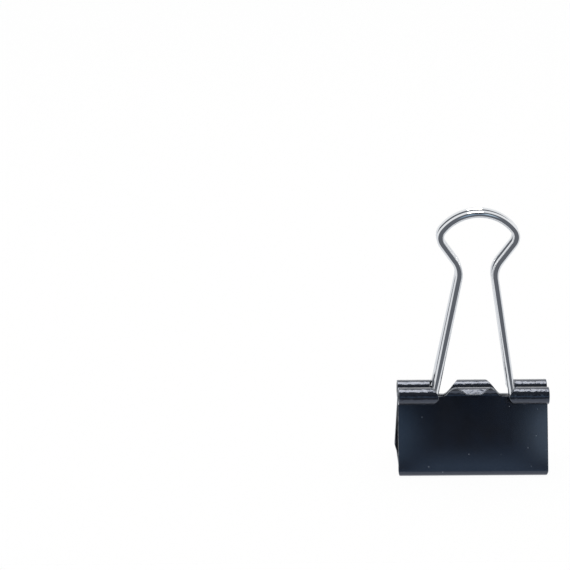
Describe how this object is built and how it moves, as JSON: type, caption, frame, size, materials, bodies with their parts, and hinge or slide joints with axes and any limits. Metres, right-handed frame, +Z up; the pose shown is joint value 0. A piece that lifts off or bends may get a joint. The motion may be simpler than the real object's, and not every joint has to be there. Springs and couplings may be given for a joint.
{
  "type": "binder clip",
  "caption": "Spring-steel binder clip: a folded triangular clamp with rolled lips and two wire handles that fold flat against its jaws.",
  "frame": {"origin": "middle of the flat underside of the spine, with the clip closed and standing on its spine", "axes": "+X along the spine, -Y towards the front jaw, +Z up through the lips and the raised handles"},
  "size_m": [0.025, 0.011, 0.0453],
  "materials": {
    "black_coated_steel": "black baked coating on spring steel, semi-gloss",
    "nickel_plated_wire": "bright nickel-plated spring wire"
  },
  "bodies": {
    "spine": {"spine": "black_coated_steel"},
    "front_jaw": {"front_jaw": "black_coated_steel"},
    "rear_jaw": {"rear_jaw": "black_coated_steel"},
    "front_handle": {"front_handle": "nickel_plated_wire"},
    "rear_handle": {"rear_handle": "nickel_plated_wire"}
  },
  "joints": [
    {"name": "front_jaw_opening", "type": "hinge", "parent": "spine", "child": "front_jaw", "pos_m": [0, -0.0054, 0.00041], "axis": [1, 0, 0], "range_deg": [0, 22], "stiffness_Nm_per_rad": 0.3, "springref_deg": -1.72},
    {"name": "rear_jaw_opening", "type": "hinge", "parent": "spine", "child": "rear_jaw", "pos_m": [0, 0.0054, 0.00041], "axis": [-1, 0, 0], "range_deg": [0, 22], "stiffness_Nm_per_rad": 0.3, "springref_deg": -1.72},
    {"name": "front_handle_fold", "type": "hinge", "parent": "front_jaw", "child": "front_handle", "pos_m": [0, -0.00161, 0.0131], "axis": [1, 0, 0], "range_deg": [0, 159.5]},
    {"name": "rear_handle_fold", "type": "hinge", "parent": "rear_jaw", "child": "rear_handle", "pos_m": [0, 0.00161, 0.0131], "axis": [-1, 0, 0], "range_deg": [0, 159.5]}
  ],
  "couplings": [
    {"joint": "rear_jaw_opening", "follows": "front_jaw_opening", "ratio": 1}
  ]
}
